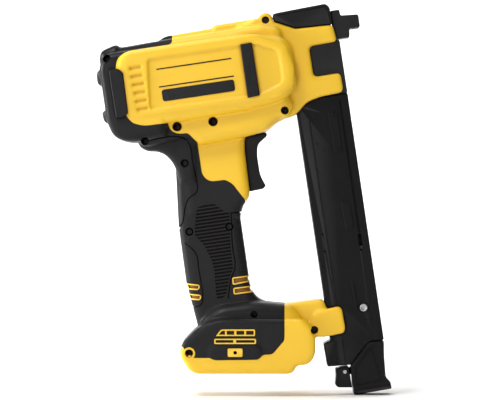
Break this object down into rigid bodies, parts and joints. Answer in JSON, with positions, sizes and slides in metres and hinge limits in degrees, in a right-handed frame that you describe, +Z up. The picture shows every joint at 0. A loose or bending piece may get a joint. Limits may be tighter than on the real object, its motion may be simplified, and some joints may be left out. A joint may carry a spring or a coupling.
{
  "type": "brad nailer",
  "caption": "Bare cordless stapler of the brad nailer family, with a leaning barrel, pistol grip, battery foot and a long magazine tied to the foot by an arm.",
  "frame": {"origin": "middle of the underside of the whole tool's box, on its symmetry plane", "axes": "+X towards the nose, +Y to the tool's left, +Z up with the foot's underside level"},
  "size_m": [0.2464, 0.079, 0.3263],
  "materials": {
    "yellow_shell": "moulded, semi-gloss",
    "rubber": "moulded grip rubber",
    "black_plastic": "satin moulded",
    "black_steel": "black oxide",
    "steel": "ground",
    "brass": "plain",
    "aluminium": "cast",
    "board": "solder mask"
  },
  "bodies": {
    "housing": {"side_bumper_right": "rubber", "corner_bumper_right": "rubber", "side_bumper_left": "rubber", "corner_bumper_left": "rubber", "nose_frame": "black_steel", "trip_spring": "steel", "top_cover": "black_plastic", "magazine_body": "black_plastic", "magazine_screw": "steel", "control_board": "board", "drive_frame": "aluminium", "cradle_pin": "steel", "guide_rod_right": "steel", "return_spring_right": "steel", "guide_rod_left": "steel", "return_spring_left": "steel", "stop_bumper": "rubber", "solenoid": "black_steel", "housing_right": "yellow_shell", "housing_left": "yellow_shell", "grip_overmould_right": "rubber", "grip_overmould_left": "rubber", "rear_cap": "black_plastic", "hook_insert_right": "yellow_shell", "hook_insert_left": "yellow_shell", "screw_top": "black_steel", "screw_front": "black_steel", "screw_motor_front": "black_steel", "screw_motor_rear": "black_steel", "screw_cap": "black_steel", "screw_lug": "black_steel", "screw_grip_top": "black_steel", "screw_grip_rear": "black_steel", "screw_grip_front": "black_steel", "screw_grip_base": "black_steel", "screw_foot_rear": "black_steel", "screw_arm": "black_steel", "trigger_pin": "steel", "trigger_spring": "steel", "trigger_switch": "black_plastic", "terminal_block": "black_plastic", "battery_terminal_1": "brass", "battery_terminal_2": "brass", "battery_terminal_3": "brass"},
    "trigger": {"trigger": "black_plastic"},
    "contact_trip": {"contact_trip": "black_steel"},
    "driver": {"driver": "steel"},
    "motor_cradle": {"motor_cradle": "aluminium", "motor_stator": "black_steel", "flywheel_bearing_right": "steel", "flywheel_bearing_left": "steel"},
    "flywheel": {"flywheel": "steel", "flywheel_axle": "steel"},
    "solenoid_plunger": {"solenoid_plunger": "steel"},
    "magazine_tray": {"magazine_tray": "steel", "end_grip": "black_plastic", "latch_pin": "steel"},
    "pusher": {"pusher": "black_plastic", "pusher_spring": "steel"},
    "magazine_latch": {"magazine_latch": "black_plastic"}
  },
  "joints": [
    {"name": "trigger_pull", "type": "hinge", "parent": "housing", "child": "trigger", "pos_m": [-0.00162, 0, 0.21484], "axis": [0, 1, 0], "range_deg": [0, 8], "stiffness_Nm_per_rad": 2, "springref_deg": -5.73, "deforming": ["trigger_spring"]},
    {"name": "trip_press", "type": "slide", "parent": "housing", "child": "contact_trip", "axis": [-0.9893, 0, -0.1461], "range_m": [0, 0.006], "stiffness_N_per_m": 600, "springref_m": -0.008, "deforming": ["trip_spring"]},
    {"name": "driver_stroke", "type": "slide", "parent": "housing", "child": "driver", "axis": [0.9893, 0, 0.1461], "range_m": [0, 0.046], "stiffness_N_per_m": 120, "springref_m": -0.03, "deforming": ["return_spring_right", "return_spring_left"]},
    {"name": "cradle_lift", "type": "hinge", "parent": "housing", "child": "motor_cradle", "pos_m": [-0.0881, 0, 0.23121], "axis": [0, -1, 0], "range_deg": [0, 1.4], "stiffness_Nm_per_rad": 20, "springref_deg": -1.72},
    {"name": "flywheel_spin", "type": "hinge", "parent": "motor_cradle", "child": "flywheel", "pos_m": [-0.04005, 0, 0.26176], "axis": [0, 1, 0], "continuous": true},
    {"name": "plunger_push", "type": "slide", "parent": "housing", "child": "solenoid_plunger", "axis": [-0.1461, 0, 0.9893], "range_m": [0, 0.0022]},
    {"name": "tray_slide", "type": "slide", "parent": "housing", "child": "magazine_tray", "axis": [0.1461, 0, -0.9893], "range_m": [0, 0.15]},
    {"name": "pusher_feed", "type": "slide", "parent": "magazine_tray", "child": "pusher", "axis": [0.1461, 0, -0.9893], "range_m": [0, 0.17], "stiffness_N_per_m": 20, "springref_m": -0.3},
    {"name": "latch_squeeze", "type": "hinge", "parent": "magazine_tray", "child": "magazine_latch", "pos_m": [0.08423, 0, 0.01911], "axis": [0, 1, 0], "range_deg": [0, 12], "stiffness_Nm_per_rad": 0.5, "springref_deg": -5.73}
  ],
  "couplings": [
    {"joint": "plunger_push", "follows": "cradle_lift", "m_per_rad": 0.0835}
  ]
}
